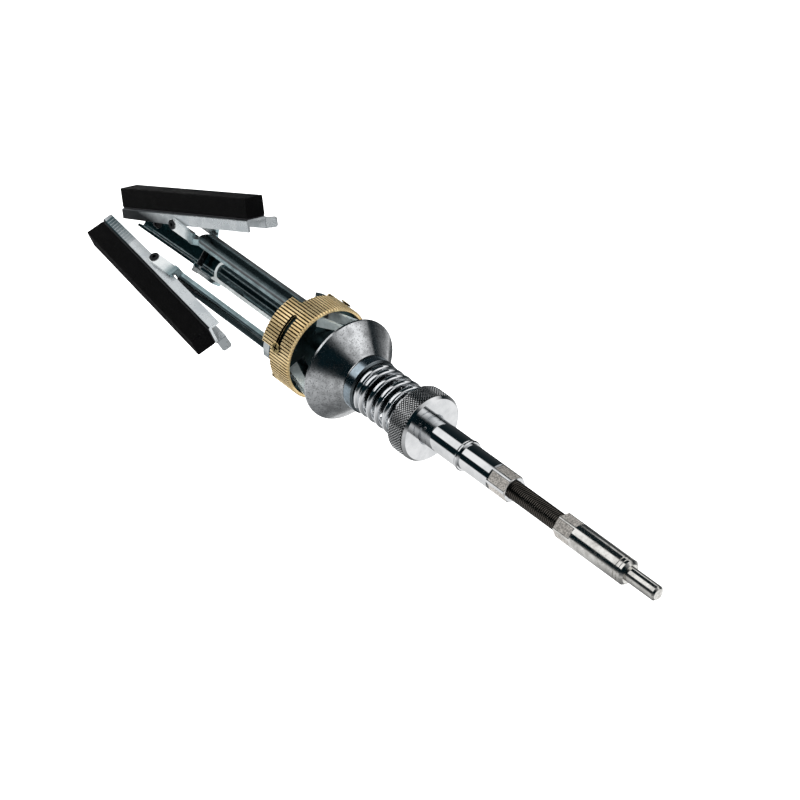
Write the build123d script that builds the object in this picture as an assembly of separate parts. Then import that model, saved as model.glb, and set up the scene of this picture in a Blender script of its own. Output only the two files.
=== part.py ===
from build123d import *
import math
import os

os.makedirs("parts", exist_ok=True)

# The tool's axis is Z. The drive shank points up from the origin, which is the
# middle of its shoulder, and the three stones hang at the lower end.
# All lengths are in millimetres and all angles are in degrees.

# Clearances and fits
running_gap = 0.05
body_gap = 0.3
ring_running_gap = 0.08

# Drive shank and its crimped sleeve
shank_diameter = 6.35
shank_length = 15.0
shank_tip_chamfer = 0.8
sleeve_diameter = 10.9
sleeve_length = 38.0
sleeve_nose_length = 2.2
sleeve_nose_diameter = 8.4
sleeve_ring_count = 2
sleeve_ring_pitch = 1.8
sleeve_ring_depth = 0.25
sleeve_crimp_length = 9.0
crimp_depth = 0.55
crimp_flats = 6

# Flexible shaft between the two crimped ends
flex_diameter = 8.1
flex_free_length = 28.0
flex_grip_length = 10.0

# Drive spindle, which carries the nut, the spring, the cone and the hub
spindle_small_diameter = 11.8
spindle_small_length = 29.5
spindle_crimp_length = 11.0
spindle_diameter = 13.2
spindle_waist_diameter = 10.0
spindle_journal_diameter = 8.0
spindle_mark_drop = 18.0
spindle_mark_width = 0.7
spindle_mark_depth = 0.35
spindle_hole_diameter = 1.6
spindle_hole_depth = 4.0
spindle_hole_azimuth = -60.0
spindle_chamfer = 0.5
retainer_wire = 1.4
retainer_groove_depth = 0.3

# Knurled tension nut
nut_drop = 22.0
nut_diameter = 31.2
nut_length = 11.2
nut_chamfer = 1.5
nut_bore_chamfer = 0.6

# Compression spring
spring_diameter = 24.4
spring_wire = 2.85
spring_length = 26.8
spring_turns = 5
spring_steps_per_turn = 20
spring_end_gap = 0.01

# Pressure cone
cone_neck_diameter = 25.5
cone_guide_length = 5.1
cone_height = 17.8
cone_mouth_radius = 22.4
cone_wall = 1.6
cone_slope_angle = 45.0
cone_travel = 12.0
cone_top_chamfer = 0.8
cone_rim_height = 1.0

# Brass range ring
ring_drop = 14.5
ring_diameter = 44.0
ring_wall = 1.5
ring_length = 19.5
ring_rib_count = 92
ring_rib_depth = 0.45
ring_rib_land = 0.4
ring_edge_chamfer = 0.7
notch_depth = 6.9
notch_lead_angle = 38.0
notch_trail_angle = 20.0
guide_slot_drop = 8.7
guide_slot_width = 3.2
guide_slot_start_angle = 84.5
guide_slot_end_angle = 36.5

# Arm hub and what holds it
hub_length = 15.9
hub_drop = 3.2
hub_core_radius = 9.2
pivot_radius = 14.2
pivot_drop = 8.2
pin_diameter = 3.0
pivot_pin_grip = 3.4
guide_screw_angle = 41.0
guide_screw_depth = 4.6
guide_screw_head_gap = 0.2
guide_screw_head_diameter = 4.8
guide_screw_head_length = 0.7
guide_screw_slot_width = 0.8
guide_screw_slot_depth = 0.35
hub_washer_diameter = 15.0
hub_washer_thickness = 1.2
hub_nut_across = 13.0
hub_nut_length = 5.0
hub_nut_corner_chamfer = 0.8
spindle_end_length = 1.0
spindle_end_chamfer = 0.6

# Spreader arms, pressed from sheet as shallow troughs
arm_length = 101.0
arm_width = 10.6
arm_height = 3.0
arm_sheet = 1.5
arm_eye_radius = 2.6
arm_web_start = 6.5
arm_trough_end = 13.5
arm_edge_round = 1.6
tail_tip_radius = 1.2
tail_tip_inset = 2.2
arm_root_overlap = 4.0
ear_side_gap = 0.35
ear_thickness = 1.7
ear_length = 15.5
ear_ramp = 2.5

# Stone holders, stones and the pins that they swivel on
holder_width = 10.8
holder_sheet = 1.2
holder_seat = 4.7
holder_height = 5.5
holder_taper = 0.7
holder_eye_radius = 2.6
holder_pin_share = 0.44
holder_lip_length = 5.0
holder_lip_height = 4.8
holder_lip_flare_angle = 38.0
holder_lip_drop = 0.5
holder_lip_overlap = 0.4
holder_lip_round = 1.2
holder_hole_width = 3.6
holder_hole_length = 6.0
holder_hole_margin = 7.5
holder_bend_round = 0.8
rivet_head_diameter = 4.6
rivet_head_thickness = 0.5
rivet_socket_diameter = 1.8
rivet_socket_depth = 1.6
backing_thickness = 0.5
backing_margin = 0.3
stone_length = 101.6
stone_width = 9.6
stone_height = 9.1
stone_edge_chamfer = 0.35

# How far each holder's upper end leans out from its arm, and the side of its flared lip
holder_tilt_angles = {"a": 21.2, "b": 6.4, "c": 6.4}
holder_lip_sides = {"a": -1, "b": 1, "c": 1}
arm_azimuth_angles = {"a": 240.0, "b": 0.0, "c": 120.0}

# Levels along the axis
sleeve_end_z = -sleeve_length
spindle_top_z = sleeve_end_z - flex_free_length
step_z = spindle_top_z - spindle_small_length
nut_top_z = step_z - nut_drop
nut_end_z = nut_top_z - nut_length
cone_top_z = nut_end_z - spring_length
cone_rim_z = cone_top_z - cone_height
ring_top_z = cone_rim_z - ring_drop
ring_end_z = ring_top_z - ring_length
pivot_z = ring_top_z - pivot_drop
hub_top_z = ring_top_z - hub_drop
hub_end_z = hub_top_z - hub_length
washer_end_z = hub_end_z - hub_washer_thickness
hub_nut_end_z = washer_end_z - hub_nut_length
spindle_end_z = hub_nut_end_z - spindle_end_length
guide_z = ring_top_z - guide_slot_drop

# Sizes that follow from the ones above
ring_bore_radius = ring_diameter / 2 - ring_wall
hub_radius = ring_bore_radius - ring_running_gap
hub_slot_width = arm_width + 2 * body_gap
pin_radius = pin_diameter / 2
pin_bore_radius = pin_radius + running_gap
guide_screw_diameter = guide_slot_width - 2 * running_gap
pivot_pin_length = hub_slot_width + 2 * pivot_pin_grip
tail_rise = cone_rim_z - tail_tip_radius - pivot_z
tail_reach = cone_mouth_radius - tail_tip_inset - pivot_radius
ear_inner = holder_width / 2 + ear_side_gap
ear_outer = ear_inner + ear_thickness
holder_far = -holder_pin_share * stone_length
holder_near = holder_far + stone_length


def cylinder(diameter, low, high):
    """An upright cylinder on the tool's axis between two levels."""
    return Pos(0, 0, (low + high) / 2) * Cylinder(diameter / 2, high - low)


def block(x_low, x_high, y_low, y_high, z_low, z_high):
    """A box between three pairs of coordinates."""
    centre = ((x_low + x_high) / 2, (y_low + y_high) / 2, (z_low + z_high) / 2)
    return Pos(*centre) * Box(x_high - x_low, y_high - y_low, z_high - z_low)


def turned(points):
    """A solid of revolution about the tool's axis from radius and height points."""
    outline = Polyline(*points, close=True)
    return revolve(Plane.XZ * make_face(outline), Axis.Z)


def sector(inner, outer, low, high, start, end):
    """A piece of a ring between two radii, two levels and two angles."""
    outer_arc = CenterArc((0, 0), outer, start, end - start)
    inner_arc = CenterArc((0, 0), inner, start, end - start)
    sides = Line(inner_arc @ 0, outer_arc @ 0) + Line(inner_arc @ 1, outer_arc @ 1)
    return Pos(0, 0, low) * extrude(make_face(outer_arc + inner_arc + sides), high - low)


def side_plate(outline, y_low, y_high):
    """A sheet cut to an outline in the X and Z directions, between two Y levels."""
    return Pos(0, y_high, 0) * extrude(Plane.XZ * outline, y_high - y_low)


def both_sides(plate):
    """A plate and its mirror image across the plane of one arm."""
    return plate + mirror(plate, Plane.XZ)


def crimp(low, high, diameter):
    """The cutters that leave the flats of a crimping die round a sleeve."""
    flat = diameter / 2 - crimp_depth
    cutter = block(flat, diameter, -diameter, diameter, low, high)
    return [Rot(0, 0, 360 * k / crimp_flats) * cutter for k in range(crimp_flats)]


def pin_along_y(radius, length):
    """A cylinder along Y, centred on the origin."""
    return Rot(90, 0, 0) * Cylinder(radius, length)


def save(solid, name):
    """Writes one piece to its own file."""
    solid.label = name
    export_step(solid, f"parts/{name}.step")


def make_shank():
    """The straight drive shank with its sleeve, crimped round the flexible shaft."""
    radius = shank_diameter / 2
    nose = sleeve_nose_diameter / 2
    outer = sleeve_diameter / 2
    profile = [
        (0, shank_length),
        (radius - shank_tip_chamfer, shank_length),
        (radius, shank_length - shank_tip_chamfer),
        (radius, 0),
        (nose, 0),
        (outer, -(outer - nose)),
        (outer, -sleeve_nose_length),
    ]
    for k in range(sleeve_ring_count):
        top = -sleeve_nose_length - k * sleeve_ring_pitch
        profile += [
            (outer - sleeve_ring_depth, top),
            (outer - sleeve_ring_depth, top - sleeve_ring_pitch / 3),
            (outer, top - sleeve_ring_pitch / 3),
            (outer, top - sleeve_ring_pitch),
        ]
    profile += [(outer, sleeve_end_z), (0, sleeve_end_z)]
    body = turned(profile)
    body -= cylinder(flex_diameter + 2 * running_gap, sleeve_end_z - 1, sleeve_end_z + flex_grip_length)
    body -= crimp(sleeve_end_z - 1, sleeve_end_z + sleeve_crimp_length, sleeve_diameter)
    return body


def make_flex():
    """The wound flexible shaft, as the plain cylinder that its wires fill."""
    low = spindle_top_z - flex_grip_length + body_gap
    high = sleeve_end_z + flex_grip_length - body_gap
    return cylinder(flex_diameter, low, high)


def make_spindle():
    """The stepped spindle from the flexible shaft down to the nut under the hub."""
    small = spindle_small_diameter / 2
    large = spindle_diameter / 2
    waist = spindle_waist_diameter / 2
    journal = spindle_journal_diameter / 2
    groove = small - retainer_groove_depth
    waist_z = cone_top_z - cone_travel - cone_guide_length - body_gap
    mark_z = step_z - spindle_mark_drop
    profile = [
        (0, spindle_top_z),
        (small - spindle_chamfer, spindle_top_z),
        (small, spindle_top_z - spindle_chamfer),
        (small, step_z + retainer_wire),
        (groove, step_z + retainer_wire),
        (groove, step_z),
        (large - spindle_chamfer, step_z),
        (large, step_z - spindle_chamfer),
        (large, mark_z),
        (large - spindle_mark_depth, mark_z),
        (large - spindle_mark_depth, mark_z - spindle_mark_width),
        (large, mark_z - spindle_mark_width),
        (large, waist_z),
        (waist, waist_z - (large - waist)),
        (waist, hub_top_z),
        (journal, hub_top_z),
        (journal, spindle_end_z + spindle_end_chamfer),
        (journal - spindle_end_chamfer, spindle_end_z),
        (0, spindle_end_z),
    ]
    body = turned(profile)
    grip = flex_diameter + 2 * running_gap
    body -= cylinder(grip, spindle_top_z - flex_grip_length, spindle_top_z + 1)
    body -= crimp(spindle_top_z - spindle_crimp_length, spindle_top_z + 1, spindle_small_diameter)
    hole_z = mark_z - spindle_mark_width - spindle_hole_diameter
    hole = Pos(large, 0, hole_z) * Rot(0, 90, 0) * Cylinder(spindle_hole_diameter / 2, spindle_hole_depth)
    return body - Rot(0, 0, spindle_hole_azimuth) * hole


def make_retainer():
    """The wire ring that sits in a groove at the spindle's step."""
    inner = spindle_small_diameter / 2 - retainer_groove_depth
    section = Rot(0, 0, 22.5) * RegularPolygon(retainer_wire / 2, 8, major_radius=False)
    place = Pos(inner + retainer_wire / 2, step_z + retainer_wire / 2)
    return revolve(Plane.XZ * (place * section), Axis.Z)


def make_nut():
    """The tension nut, without its fine knurl."""
    outer = nut_diameter / 2
    inner = spindle_diameter / 2 + running_gap
    low = nut_end_z + body_gap
    return turned(
        [
            (inner + nut_bore_chamfer, nut_top_z),
            (outer - nut_chamfer, nut_top_z),
            (outer, nut_top_z - nut_chamfer),
            (outer, low + nut_chamfer / 2),
            (outer - nut_chamfer / 2, low),
            (inner, low),
            (inner, nut_top_z - nut_bore_chamfer),
        ]
    )


def make_spring():
    """The compression spring between the nut and the cone."""
    mean = (spring_diameter - spring_wire) / 2
    rise = spring_length - spring_wire - 2 * spring_end_gap
    steps = spring_turns * spring_steps_per_turn
    points = []
    for k in range(steps + 1):
        angle = 2 * math.pi * k / spring_steps_per_turn
        points.append((mean * math.cos(angle), mean * math.sin(angle), rise * k / steps))
    path = Polyline(*points)
    section = Plane(origin=path @ 0, z_dir=path % 0) * RegularPolygon(spring_wire / 2, 8)
    wire = sweep(section, path=path, transition=Transition.RIGHT)
    return Pos(0, 0, cone_top_z + spring_wire / 2 + spring_end_gap) * wire


def make_cone():
    """The pressure cone: a guide neck on the spindle that opens to a wide mouth."""
    bore = spindle_diameter / 2 + running_gap
    neck = cone_neck_diameter / 2
    steep = math.tan(math.radians(cone_slope_angle))
    wall = cone_wall / math.cos(math.radians(cone_slope_angle))
    ceiling_z = cone_top_z - cone_guide_length
    ceiling_radius = cone_mouth_radius - (ceiling_z - cone_rim_z) * steep
    rim_radius = cone_mouth_radius + wall - cone_rim_height * steep
    neck_z = cone_rim_z + (cone_mouth_radius + wall - neck) / steep
    return turned(
        [
            (bore, cone_top_z),
            (neck - cone_top_chamfer, cone_top_z),
            (neck, cone_top_z - cone_top_chamfer),
            (neck, neck_z),
            (rim_radius, cone_rim_z + cone_rim_height),
            (rim_radius, cone_rim_z),
            (cone_mouth_radius, cone_rim_z),
            (ceiling_radius, ceiling_z),
            (bore, ceiling_z),
        ]
    )


def radial_cylinder(diameter, inner, outer, angle):
    """A cylinder that points away from the axis at the level of the guide slots."""
    rod = Pos((inner + outer) / 2, 0, guide_z) * Rot(0, 90, 0) * Cylinder(diameter / 2, outer - inner)
    return Rot(0, 0, angle) * rod


def make_ring():
    """The ribbed brass ring with its guide slots and the open notches for the arms."""
    outer = ring_diameter / 2
    root = outer - ring_rib_depth
    share_of_land = ring_rib_land / 2
    points = []
    for k in range(ring_rib_count):
        for share, radius in ((0.0, root), (0.5 - share_of_land, outer), (0.5 + share_of_land, outer)):
            angle = 2 * math.pi * (k + share) / ring_rib_count
            points.append((radius * math.cos(angle), radius * math.sin(angle)))
    ribbed = make_face(Polyline(*points, close=True))
    small = scale(ribbed, (outer - ring_edge_chamfer) / outer)
    low = ring_end_z + ring_edge_chamfer
    high = ring_top_z - ring_edge_chamfer
    ring = loft([Pos(0, 0, ring_end_z) * small, Pos(0, 0, low) * ribbed], ruled=True)
    ring += Pos(0, 0, low) * extrude(ribbed, high - low)
    ring += loft([Pos(0, 0, high) * ribbed, Pos(0, 0, ring_top_z) * small], ruled=True)
    ring -= cylinder(2 * ring_bore_radius, ring_end_z - 1, ring_top_z + 1)
    inside = ring_bore_radius - 2
    outside = outer + 2
    end_share = math.degrees(guide_slot_width / 2 / outer)
    for azimuth in arm_azimuth_angles.values():
        start = azimuth - notch_lead_angle
        end = azimuth + notch_trail_angle
        ring -= sector(inside, outside, ring_end_z - 1, ring_end_z + notch_depth, start, end)
        start = azimuth - guide_slot_start_angle + end_share
        end = azimuth - guide_slot_end_angle - end_share
        low = guide_z - guide_slot_width / 2
        ring -= sector(inside, outside, low, low + guide_slot_width, start, end)
        for angle in (start, end):
            ring -= radial_cylinder(guide_slot_width, inside, outside, angle)
    return ring


def make_hub():
    """The slotted disc that carries the arms on pins and turns inside the ring."""
    hub = cylinder(2 * hub_radius, hub_end_z, hub_top_z)
    hub -= cylinder(spindle_journal_diameter, hub_end_z - 1, hub_top_z + 1)
    half = hub_slot_width / 2
    pin = Pos(pivot_radius, 0, pivot_z) * pin_along_y(pin_radius, pivot_pin_length)
    for azimuth in arm_azimuth_angles.values():
        turn = Rot(0, 0, azimuth)
        hub -= turn * block(hub_core_radius, hub_radius + 1, -half, half, hub_end_z - 1, hub_top_z + 1)
        hub -= turn * pin
        inner = hub_radius - guide_screw_depth
        hub -= radial_cylinder(guide_screw_diameter, inner, hub_radius + 1, azimuth - guide_screw_angle)
    return hub


def make_guide_screws():
    """Three screws in the hub that run in the ring's guide slots."""
    inner = hub_radius - guide_screw_depth
    seat = ring_diameter / 2 + guide_screw_head_gap
    top = seat + guide_screw_head_length
    half = guide_screw_slot_width / 2
    reach = guide_screw_head_diameter
    slot = block(top - guide_screw_slot_depth, top + 1, -reach, reach, guide_z - half, guide_z + half)
    screws = []
    for azimuth in arm_azimuth_angles.values():
        angle = azimuth - guide_screw_angle
        screw = radial_cylinder(guide_screw_diameter, inner, seat, angle)
        screw += radial_cylinder(guide_screw_head_diameter, seat, top, angle)
        screws.append(screw - Rot(0, 0, angle) * slot)
    return Compound(screws)


def make_washer():
    """The washer under the hub."""
    disc = cylinder(hub_washer_diameter, washer_end_z, hub_end_z)
    return disc - cylinder(spindle_journal_diameter, washer_end_z - 1, hub_end_z + 1)


def make_hub_nut():
    """The hexagon nut that clamps the hub to the spindle."""
    flat = hub_nut_across / 2
    prism = Pos(0, 0, hub_nut_end_z) * extrude(RegularPolygon(flat, 6, major_radius=False), hub_nut_length)
    corner = flat / math.cos(math.radians(30))
    rounded = turned(
        [
            (0, hub_nut_end_z),
            (flat, hub_nut_end_z),
            (corner, hub_nut_end_z + hub_nut_corner_chamfer),
            (corner, washer_end_z),
            (0, washer_end_z),
        ]
    )
    return (prism & rounded) - cylinder(spindle_journal_diameter, hub_nut_end_z - 1, washer_end_z + 1)


def arm_place(azimuth):
    """The place of an arm's pivot, with X pointing away from the tool's axis."""
    return Rot(0, 0, azimuth) * Pos(pivot_radius, 0, pivot_z)


def make_pivot_pin():
    """One arm's pivot pin in the hub, in the arm's own frame."""
    return pin_along_y(pin_radius, pivot_pin_length)


def make_arm():
    """A pressed arm: two tail prongs, a closed trough and two ears for the holder."""
    half = arm_width / 2
    inner = half - arm_sheet
    end_z = half + arm_trough_end - arm_length
    eye = Circle(arm_eye_radius)
    tip = Pos(tail_reach, tail_rise) * Circle(tail_tip_radius)
    start = Pos(-arm_height / 2, -arm_web_start - arm_root_overlap) * Rectangle(arm_height, 1)
    tail = make_hull((eye + tip).edges())
    root = make_hull((eye + start).edges())
    prongs = both_sides(side_plate(tail + root, inner, half))
    trough = block(-arm_height, 0, -half, half, end_z, -arm_web_start)
    trough += Pos(-arm_height / 2, 0, end_z) * Rot(0, 90, 0) * Cylinder(half, arm_height)
    pocket_depth = arm_height - arm_sheet
    pocket = block(-arm_height - 1, -arm_sheet, -inner, inner, end_z, 0)
    middle = -arm_sheet - (pocket_depth + 1) / 2
    trough -= pocket + Pos(middle, 0, end_z) * Rot(0, 90, 0) * Cylinder(inner, pocket_depth + 1)
    long_edges = trough.edges().filter_by(Axis.Z).group_by(Axis.X)[-1]
    trough = fillet(long_edges, arm_edge_round)
    return trough + prongs + both_sides(make_ear()) - arm_holes()


def make_ear():
    """One of the two ears that hold the stone holder, with the ramp to the trough."""
    far = -arm_length
    eye = Pos(0, far) * Circle(arm_eye_radius)
    tail = Pos(0, far + ear_length) * Rectangle(2 * arm_eye_radius, 1)
    plate = side_plate(make_hull((eye + tail).edges()), ear_inner, ear_outer)
    low = far + ear_length - ear_ramp
    half = arm_width / 2
    ramp = Polyline(
        (half - arm_sheet, low + ear_ramp),
        (ear_inner, low),
        (ear_outer, low),
        (ear_outer, low + ear_ramp),
        (half, low + 2 * ear_ramp),
        (half - arm_sheet, low + 2 * ear_ramp),
        close=True,
    )
    bridge = extrude(Plane.YZ * make_face(ramp), amount=arm_height)
    return plate + Pos(-arm_height, 0, 0) * bridge


def arm_holes():
    """The holes for the pivot pin and for the rivet at the far end."""
    holes = pin_along_y(pin_bore_radius, 3 * arm_width)
    return holes + Pos(0, 0, -arm_length) * pin_along_y(pin_radius, 3 * arm_width)


def make_holder_pin():
    """The rivet that the holder swivels on, with a head and a socket at each end."""
    half = ear_outer + rivet_head_thickness
    pin = pin_along_y(pin_radius, 2 * half)
    head = pin_along_y(rivet_head_diameter / 2, rivet_head_thickness)
    head = Pos(0, half - rivet_head_thickness / 2, 0) * head
    socket = pin_along_y(rivet_socket_diameter / 2, rivet_socket_depth)
    socket = Pos(0, half - rivet_socket_depth / 2, 0) * socket
    return pin + both_sides(head) - both_sides(socket)


def make_holder(lip_side):
    """The pressed channel under one stone, with its swivel eyes and one flared lip."""
    half = holder_width / 2
    inner = half - holder_sheet
    edge = holder_seat - holder_height
    web = block(holder_seat - holder_sheet, holder_seat, -half, half, holder_far, holder_near)
    side = Polyline(
        (holder_seat, holder_far),
        (edge + holder_taper, holder_far),
        (edge, 0),
        (edge, holder_near),
        (holder_seat, holder_near),
        close=True,
    )
    outline = make_face(side) + Circle(holder_eye_radius)
    channel = web + both_sides(side_plate(outline, inner, half))
    bends = channel.edges().filter_by(Axis.Z).group_by(Axis.X)[-1]
    channel = fillet(bends, holder_bend_round)
    top = holder_seat - holder_lip_drop
    lip = block(top - holder_lip_height, top, -holder_sheet, 0, 0, holder_lip_length)
    lip = fillet(lip.edges().filter_by(Axis.Y).group_by(Axis.Z)[-1], holder_lip_round)
    lip = Pos(0, half, holder_near - holder_lip_overlap) * Rot(-holder_lip_flare_angle, 0, 0) * lip
    if lip_side < 0:
        lip = mirror(lip, Plane.XZ)
    hole_z = holder_far + holder_hole_margin
    slot = SlotOverall(holder_hole_length, holder_hole_width)
    hole = Pos(holder_seat, 0, hole_z) * Rot(0, 90, 0) * extrude(slot, 2 * holder_sheet, both=True)
    return channel + lip - hole - pin_along_y(pin_bore_radius, 2 * holder_width)


def make_backing():
    """The thin backing that the stone is bonded to."""
    half = stone_width / 2 - backing_margin
    low = holder_far + backing_margin
    high = holder_near - backing_margin
    return block(holder_seat, holder_seat + backing_thickness, -half, half, low, high)


def make_stone():
    """One abrasive stone with its long and end edges just broken."""
    half = stone_width / 2
    low = holder_seat + backing_thickness
    stone = block(low, low + stone_height, -half, half, holder_far, holder_near)
    return chamfer(stone.edges(), stone_edge_chamfer)


save(make_shank(), "chuck_shank")
save(make_flex(), "flex_shaft")
save(make_spindle(), "drive_spindle")
save(make_retainer(), "spindle_ring")
save(make_nut(), "tension_nut")
save(make_spring(), "pressure_spring")
save(make_cone(), "pressure_cone")
save(make_ring(), "range_ring")
save(make_hub(), "arm_hub")
save(make_guide_screws(), "guide_screws")
save(make_washer(), "hub_washer")
save(make_hub_nut(), "hub_nut")

for letter, azimuth in arm_azimuth_angles.items():
    arm_frame = arm_place(azimuth)
    swivel_frame = arm_frame * Pos(0, 0, -arm_length)
    holder_frame = swivel_frame * Rot(0, holder_tilt_angles[letter], 0)
    save(arm_frame * make_pivot_pin(), f"pivot_pin_{letter}")
    save(arm_frame * make_arm(), f"arm_{letter}")
    save(swivel_frame * make_holder_pin(), f"holder_pin_{letter}")
    save(holder_frame * make_holder(holder_lip_sides[letter]), f"stone_holder_{letter}")
    save(holder_frame * make_backing(), f"stone_backing_{letter}")
    save(holder_frame * make_stone(), f"stone_{letter}")
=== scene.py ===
"""The looks of a three-stone adjustable cylinder hone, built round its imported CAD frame.

Every length is in metres and every piece lies in the CAD's own frame: the tool's axis is Z, the drive shank points up
from the origin, and the three stones hang at the lower end.
"""

import logging
import math
from dataclasses import dataclass, replace
from enum import Enum

import bmesh
import bpy
from mathutils import Matrix, Vector

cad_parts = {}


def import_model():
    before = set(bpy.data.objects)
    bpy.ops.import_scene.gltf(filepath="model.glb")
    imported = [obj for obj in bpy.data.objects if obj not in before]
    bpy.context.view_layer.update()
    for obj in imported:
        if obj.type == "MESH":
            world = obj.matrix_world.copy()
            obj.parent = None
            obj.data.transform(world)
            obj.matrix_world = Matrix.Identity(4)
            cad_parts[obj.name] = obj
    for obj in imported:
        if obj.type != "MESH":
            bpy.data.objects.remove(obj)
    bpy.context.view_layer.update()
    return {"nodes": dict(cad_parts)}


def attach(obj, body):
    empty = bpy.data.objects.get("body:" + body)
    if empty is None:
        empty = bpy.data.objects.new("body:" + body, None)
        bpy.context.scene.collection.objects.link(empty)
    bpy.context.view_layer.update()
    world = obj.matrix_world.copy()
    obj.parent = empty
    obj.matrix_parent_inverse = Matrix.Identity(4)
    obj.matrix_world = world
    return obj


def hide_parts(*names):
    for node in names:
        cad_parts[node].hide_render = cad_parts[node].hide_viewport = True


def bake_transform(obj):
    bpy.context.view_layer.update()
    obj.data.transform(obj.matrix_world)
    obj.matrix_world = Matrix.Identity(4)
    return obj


LOG = logging.getLogger("hone")
MM = 0.001
Number = float | int
Colour = tuple[float, float, float]
Stops = tuple[tuple[float, float], ...]
Loop = list[tuple[float, float, float]]
WHITE: Colour = (1.0, 1.0, 1.0)
# The numbers of a Mix node's colour sockets, because their names repeat for each type of data.
MIX_SHARE, MIX_FIRST, MIX_SECOND, MIX_RESULT = 0, 6, 7, 2
# How much a pattern is stretched along X, Y and Z: lines turned round the axis, or drawn along it.
TURNED = (0.04, 0.04, 1.0)
DRAWN = (1.0, 1.0, 0.03)


class Arm(Enum):
    """The three arms, with the angle round the axis at which each one stands."""

    A = 240.0
    B = 0.0
    C = 120.0

    @property
    def letter(self) -> str:
        """The letter that ends the names of this arm's nodes and bodies."""
        return self.name.lower()


class Value:
    """One output socket, on which Python's operators add Math nodes."""

    def __init__(self, graph: "NodeGraph", socket: bpy.types.NodeSocket) -> None:
        """Keeps the socket and the graph that it belongs to.

        Args:
            graph: The graph that new Math nodes are added to.
            socket: The output socket that this value stands for.
        """
        self.graph = graph
        self.socket = socket

    def __add__(self, other: "Value | Number") -> "Value":
        """This value plus another."""
        return self.graph.math("ADD", self, other)

    __radd__ = __add__

    def __sub__(self, other: "Value | Number") -> "Value":
        """This value less another."""
        return self.graph.math("SUBTRACT", self, other)

    def __rsub__(self, other: Number) -> "Value":
        """A number less this value."""
        return self.graph.math("SUBTRACT", other, self)

    def __mul__(self, other: "Value | Number") -> "Value":
        """This value times another."""
        return self.graph.math("MULTIPLY", self, other)

    __rmul__ = __mul__

    def __truediv__(self, other: "Value | Number") -> "Value":
        """This value divided by another."""
        return self.graph.math("DIVIDE", self, other)

    def __rtruediv__(self, other: Number) -> "Value":
        """A number divided by this value."""
        return self.graph.math("DIVIDE", other, self)

    def __pow__(self, other: "Value | Number") -> "Value":
        """This value raised to a power."""
        return self.graph.math("POWER", self, other)

    def __neg__(self) -> "Value":
        """This value with its sign changed."""
        return self.graph.math("MULTIPLY", self, -1.0)

    def __lt__(self, other: "Value | Number") -> "Value":
        """1 where this value is less than another, and 0 elsewhere."""
        return self.graph.math("LESS_THAN", self, other)

    def __gt__(self, other: "Value | Number") -> "Value":
        """1 where this value is greater than another, and 0 elsewhere."""
        return self.graph.math("GREATER_THAN", self, other)

    def sine(self) -> "Value":
        """The sine of this value, which is in radians."""
        return self.graph.math("SINE", self)

    def cosine(self) -> "Value":
        """The cosine of this value, which is in radians."""
        return self.graph.math("COSINE", self)

    def clamped(self) -> "Value":
        """This value held between 0 and 1."""
        return self.graph.math("ADD", self, 0.0, use_clamp=True)

    def at_most(self, other: "Value | Number") -> "Value":
        """The smaller of this value and another."""
        return self.graph.math("MINIMUM", self, other)

    def at_least(self, other: "Value | Number") -> "Value":
        """The larger of this value and another."""
        return self.graph.math("MAXIMUM", self, other)


class NodeGraph:
    """Adds the nodes of one tree, for a material or for a shape."""

    def __init__(self, tree: bpy.types.NodeTree) -> None:
        """Keeps the tree that nodes are added to."""
        self.tree = tree

    def node(self, kind: str, settings: dict | None = None, inputs: dict | None = None) -> bpy.types.Node:
        """Adds one node of any type.

        Args:
            kind: The node's type name.
            settings: Properties to set first. "stops" gives a colour ramp's positions and colours.
            inputs: Values or links for its sockets, by name or number.

        Returns:
            The new node.
        """
        made = self.tree.nodes.new(kind)
        for name, value in (settings or {}).items():
            if name == "stops":
                self._set_stops(made.color_ramp, value)
            else:
                setattr(made, name, value)
        for key, value in (inputs or {}).items():
            self.feed(made.inputs[key], value)
        return made

    def feed(self, socket: bpy.types.NodeSocket, value: "Value | bpy.types.NodeSocket | Number | Colour") -> None:
        """Links a socket to a value, or sets it to a constant.

        Args:
            socket: The input socket.
            value: A value or an output socket to link, or a constant, which gets full opacity if it is a colour.
        """
        if isinstance(value, Value):
            self.tree.links.new(value.socket, socket)
        elif isinstance(value, bpy.types.NodeSocket):
            self.tree.links.new(value, socket)
        elif isinstance(value, tuple) and socket.type == "RGBA":
            socket.default_value = (*value, 1.0)
        else:
            socket.default_value = value

    def math(self, operation: str, *values: Value | Number, use_clamp: bool = False) -> Value:
        """Adds a Math node.

        Args:
            operation: The node's operation.
            values: What it works on.
            use_clamp: Whether its result is held between 0 and 1.

        Returns:
            The node's result.
        """
        settings = {"operation": operation, "use_clamp": use_clamp}
        made = self.node("ShaderNodeMath", settings, dict(enumerate(values)))
        return Value(self, made.outputs[0])

    def mix_colours(self, share: Value, first: Value | Colour, second: Value | Colour) -> Value:
        """Goes from one colour to another as the share goes from 0 to 1."""
        inputs = {MIX_SHARE: share, MIX_FIRST: first, MIX_SECOND: second}
        return Value(self, self.node("ShaderNodeMix", {"data_type": "RGBA"}, inputs).outputs[MIX_RESULT])

    def ramp(self, factor: Value, *stops: tuple[float, float]) -> Value:
        """Maps a value through a ramp.

        Args:
            factor: The value.
            stops: The ramp's positions and grey levels.

        Returns:
            The grey level at the value.
        """
        colours = [(place, (level, level, level)) for place, level in stops]
        made = self.node("ShaderNodeValToRGB", {"stops": colours}, {"Fac": factor})
        return Value(self, made.outputs[0])

    @staticmethod
    def _set_stops(ramp: bpy.types.ColorRamp, stops: list[tuple[float, Colour]]) -> None:
        """Sets a new ramp's stops.

        Args:
            ramp: The ramp.
            stops: The positions and colours, in order.
        """
        while len(ramp.elements) < len(stops):
            ramp.elements.new(0.5)
        for element, (place, colour) in zip(ramp.elements, stops):
            element.position = place
            element.color = (*colour, 1.0)


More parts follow.
